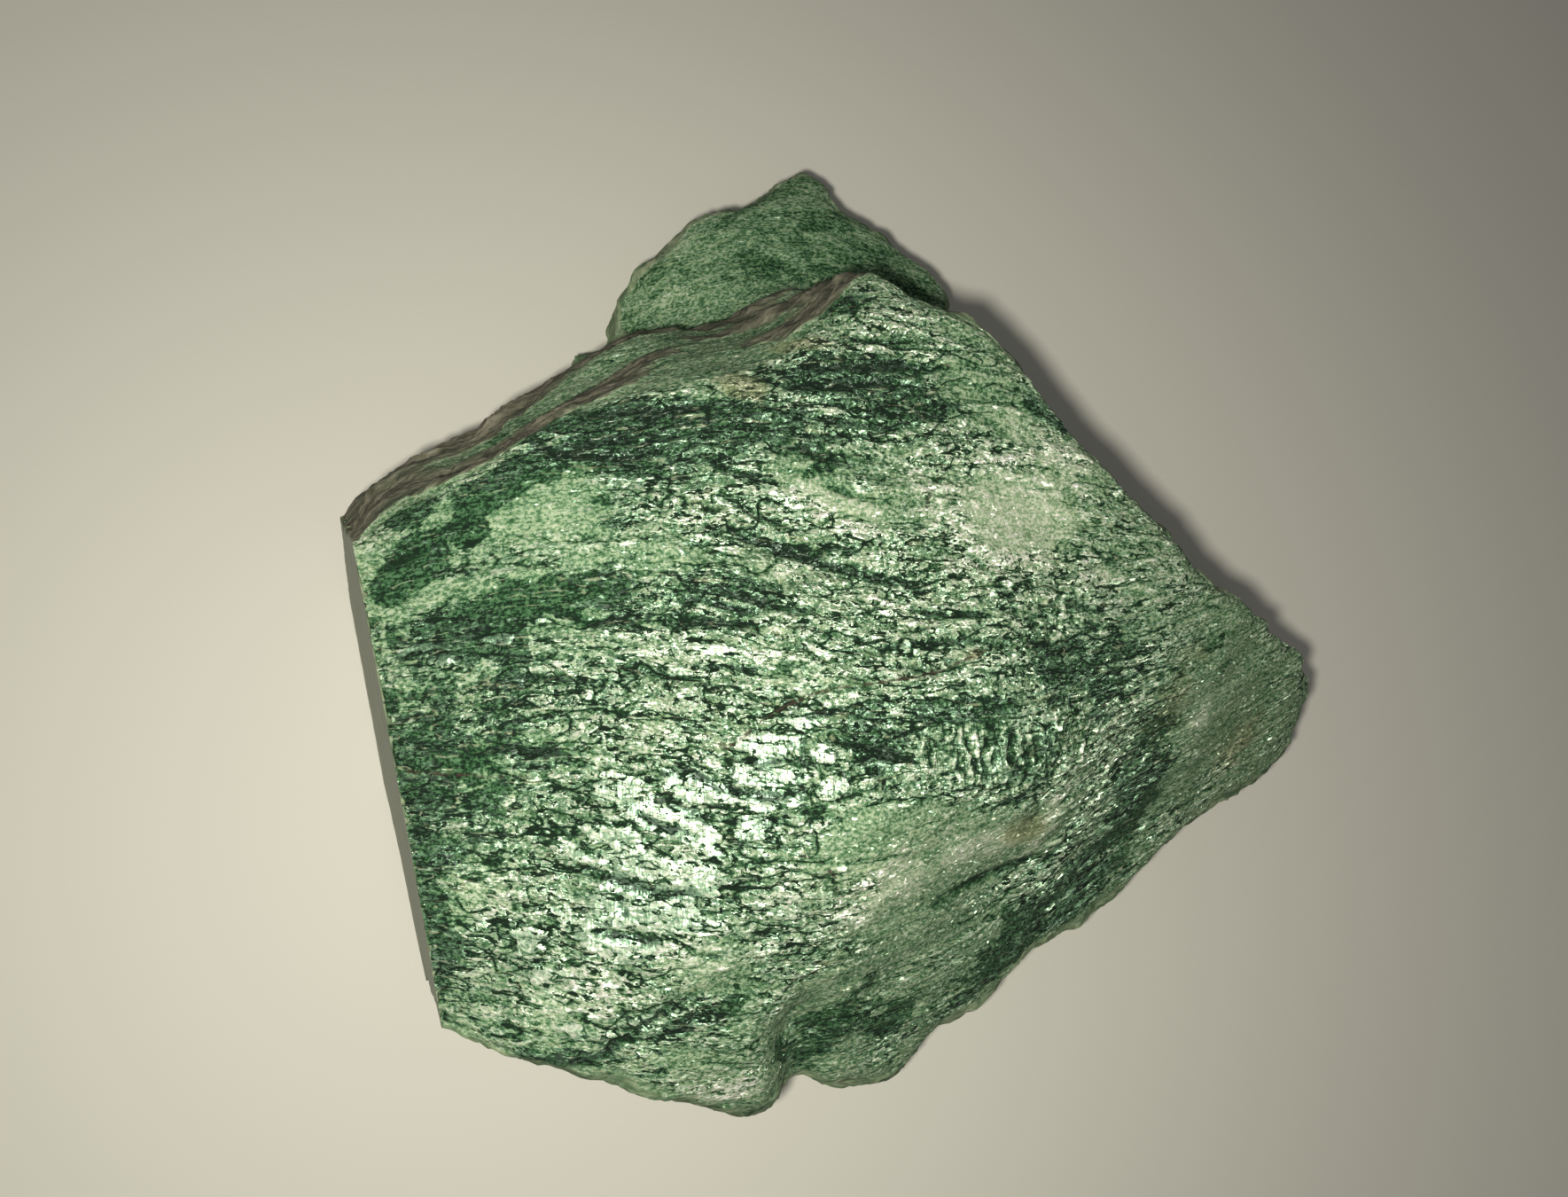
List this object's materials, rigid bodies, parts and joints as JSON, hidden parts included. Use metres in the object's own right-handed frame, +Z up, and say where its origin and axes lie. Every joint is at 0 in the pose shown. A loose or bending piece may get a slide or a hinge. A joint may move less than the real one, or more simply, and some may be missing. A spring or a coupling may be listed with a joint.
{
  "type": "raw fuchsite",
  "caption": "Blocky broken lump of green mica schist with a crinkled, glittering domed top, a flat sawn side, a weathered brown rind and a low terrace behind.",
  "frame": {"origin": "on the resting plane, under the middle of the lump's bounding box", "axes": "+Z up, away from the flat face that the lump rests on; +Y towards the low terrace at the back; -X towards the sawn face"},
  "size_m": [0.1006, 0.0954, 0.0367],
  "materials": {
    "fuchsite": "rough broken mica schist with a silky, glittering mica face, one sawn face and a dull rind"
  },
  "bodies": {
    "root": {"fuchsite": "fuchsite"}
  },
  "joints": []
}
